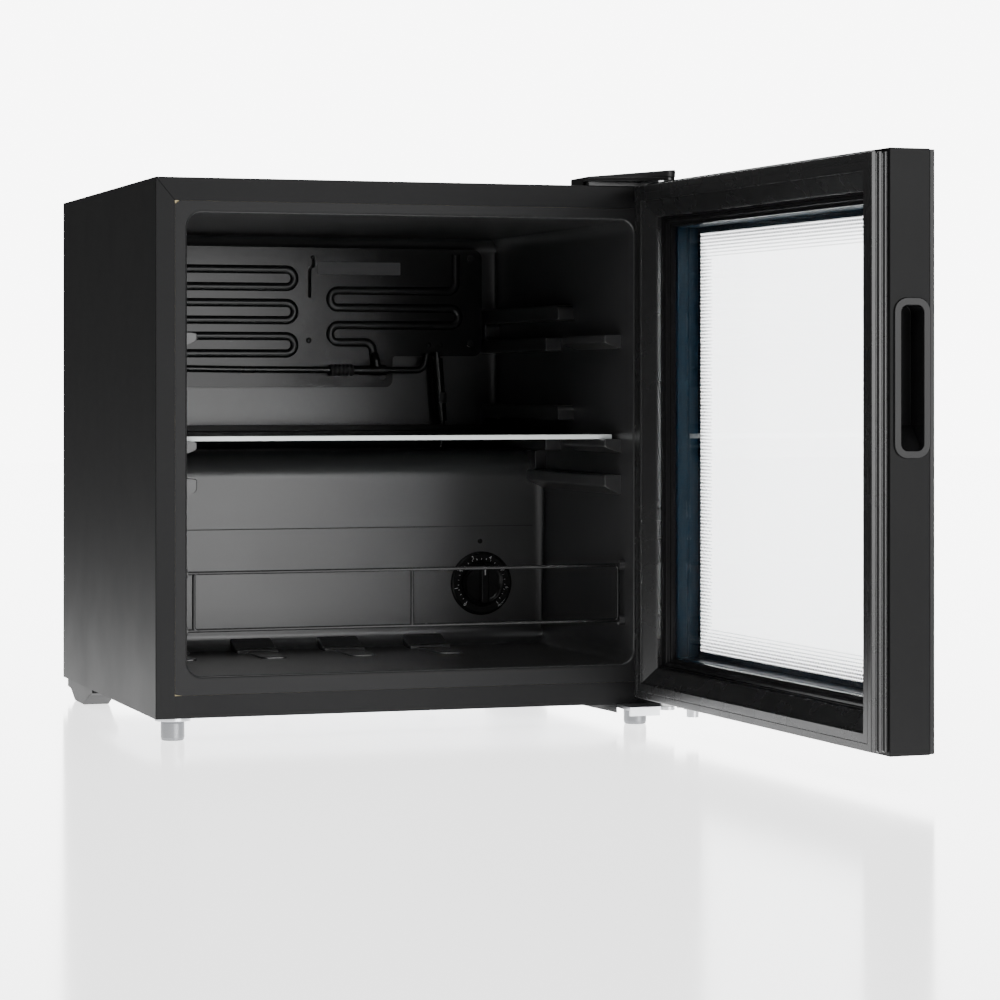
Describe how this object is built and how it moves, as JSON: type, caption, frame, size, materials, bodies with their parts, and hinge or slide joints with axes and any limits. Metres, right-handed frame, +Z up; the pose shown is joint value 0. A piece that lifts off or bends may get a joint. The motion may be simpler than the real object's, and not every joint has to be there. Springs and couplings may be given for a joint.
{
  "type": "mini fridge",
  "caption": "Table-top compressor cooler with a right-hung glazed door, a glass shelf, a bottle guard, a thermostat dial and levelling feet.",
  "frame": {"origin": "on the floor under the centre of the cabinet's footprint, in the plane of the feet", "axes": "+X to the hinge side, which is the right seen from the front; -Y out of the front; +Z up"},
  "size_m": [0.4695, 0.8857, 0.4716],
  "materials": {
    "painted_steel": "satin",
    "liner_plastic": "satin",
    "foam": "matte",
    "galvanised_steel": "satin",
    "black_enamel": "satin",
    "black_plastic": "matte",
    "rubber_parts": "matte",
    "gasket_vinyl": "satin",
    "clear_glass": "polished",
    "zinc_plate": "satin",
    "copper": "satin",
    "white_nylon": "satin",
    "spacer_aluminium": "satin"
  },
  "bodies": {
    "cabinet": {"outer_shell": "painted_steel", "bottom_rail": "painted_steel", "rear_panel": "painted_steel", "base_pan": "galvanised_steel", "insulation": "foam", "inner_liner": "liner_plastic", "shelf_guides": "liner_plastic", "evaporator_plate": "black_enamel", "evaporator_posts": "black_enamel", "evaporator_tail": "black_enamel", "tail_sleeve": "black_enamel", "suction_line": "black_enamel", "suction_clip": "black_plastic", "thermostat_body": "galvanised_steel", "thermostat_ring": "black_plastic", "bottle_guard": "black_enamel", "guard_cups": "liner_plastic", "foot_plate": "zinc_plate", "rear_skids": "black_plastic", "compressor_plate": "galvanised_steel", "compressor_shell": "black_enamel", "compressor_feet": "black_enamel", "compressor_grommets": "rubber_parts", "compressor_bolts": "zinc_plate", "relay_cover": "black_plastic", "cord_bush": "rubber_parts", "discharge_line": "copper", "filter_drier": "copper", "capillary_tube": "copper", "condenser_tube": "black_enamel", "condenser_wires": "black_enamel", "condenser_brackets": "black_plastic", "rear_screws": "zinc_plate", "top_hinge_bracket": "black_enamel", "top_hinge_screws": "zinc_plate", "top_hinge_cover": "black_plastic", "top_hinge_pin": "zinc_plate", "bottom_hinge_bracket": "zinc_plate", "bottom_hinge_gusset": "black_plastic", "bottom_hinge_screws": "zinc_plate", "bottom_hinge_pin": "zinc_plate", "hinge_washer": "white_nylon"},
    "door": {"door_hinge_stile": "black_plastic", "door_handle_stile": "black_plastic", "door_top_rail": "black_plastic", "door_bottom_rail": "black_plastic", "hinge_bushes": "white_nylon", "handle_insert": "black_plastic", "glazing_bead": "black_plastic", "inner_glass": "clear_glass", "glass_spacer": "spacer_aluminium", "outer_glass": "clear_glass", "door_gasket": "gasket_vinyl", "door_stop_arm": "zinc_plate"},
    "shelf": {"shelf_glass": "clear_glass", "shelf_rear_bar": "black_plastic"},
    "knob": {"thermostat_knob": "black_plastic", "thermostat_shaft": "zinc_plate"},
    "left_foot": {"front_left_foot": "zinc_plate"},
    "right_foot": {"front_right_foot": "zinc_plate"}
  },
  "joints": [
    {"name": "door_hinge", "type": "hinge", "parent": "cabinet", "child": "door", "pos_m": [0.213, -0.229, 0.242], "axis": [0, 0, 1], "range_deg": [-92, 23]},
    {"name": "shelf_slide", "type": "slide", "parent": "cabinet", "child": "shelf", "axis": [0, -1, 0], "range_m": [0, 0.04]},
    {"name": "thermostat_turn", "type": "hinge", "parent": "cabinet", "child": "knob", "pos_m": [0.1343, 0.035, 0.1087], "axis": [0, -1, 0], "range_deg": [-140, 140]},
    {"name": "left_foot_screw", "type": "hinge", "parent": "cabinet", "child": "left_foot", "pos_m": [-0.202, -0.182, 0.01], "axis": [0, 0, 1], "continuous": true},
    {"name": "right_foot_screw", "type": "hinge", "parent": "cabinet", "child": "right_foot", "pos_m": [0.202, -0.182, 0.01], "axis": [0, 0, 1], "continuous": true}
  ]
}
